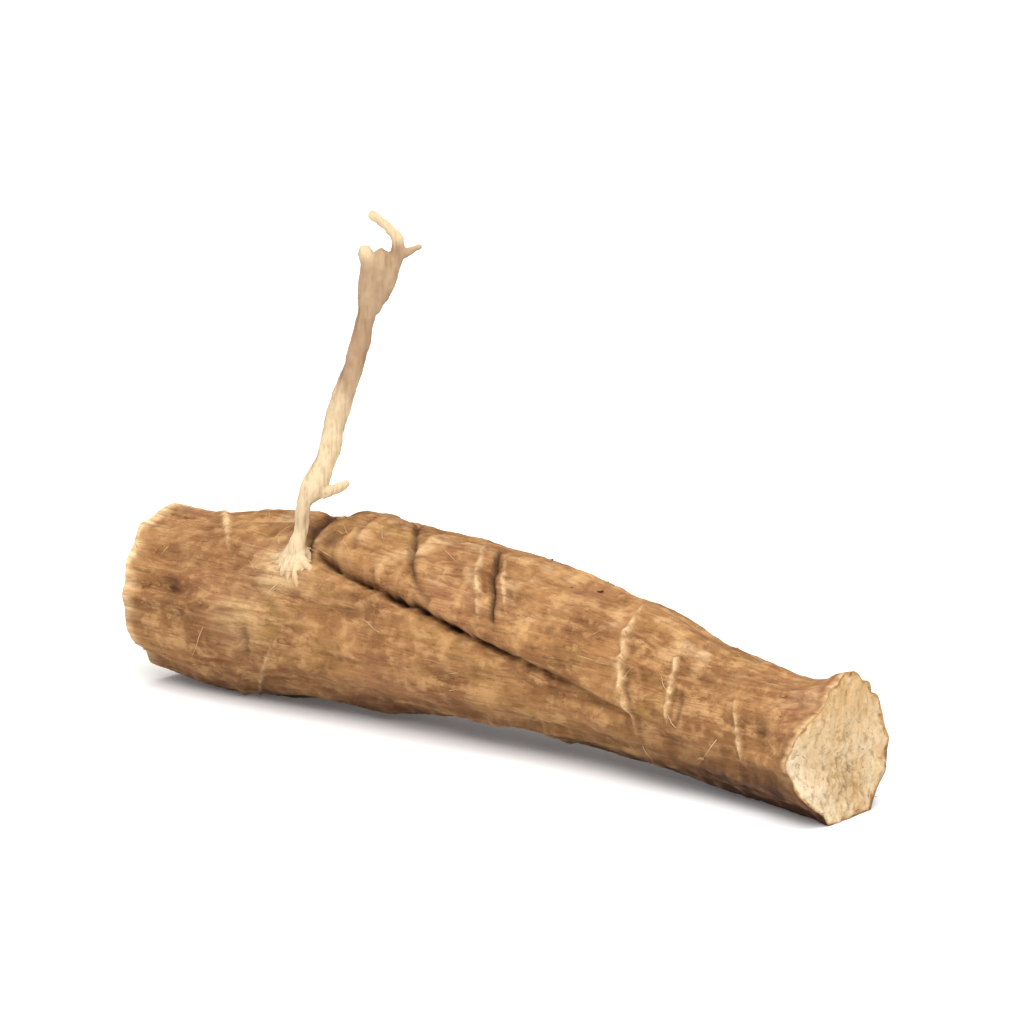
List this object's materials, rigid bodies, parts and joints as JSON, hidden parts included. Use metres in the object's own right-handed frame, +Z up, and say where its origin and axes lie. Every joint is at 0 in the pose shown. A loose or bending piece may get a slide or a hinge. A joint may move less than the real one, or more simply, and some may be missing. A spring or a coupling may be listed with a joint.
{
  "type": "valerian root",
  "caption": "Cut piece of dried valerian root lying on its side, with an open seam between two grown-together strands, ring scars and a fine standing rootlet.",
  "frame": {"origin": "middle of the bottom of the bounding box, on the surface that the root lies on", "axes": "+X along the root from its thick cut end to its thin cut end, +Z up, -Y towards the side with the open seam"},
  "size_m": [0.061, 0.0134, 0.0345],
  "materials": {
    "bark": "dry, matt brown bark with paler scars, and pale fibrous wood on the cut ends"
  },
  "bodies": {
    "root": {"valerian_root": "bark"}
  },
  "joints": []
}
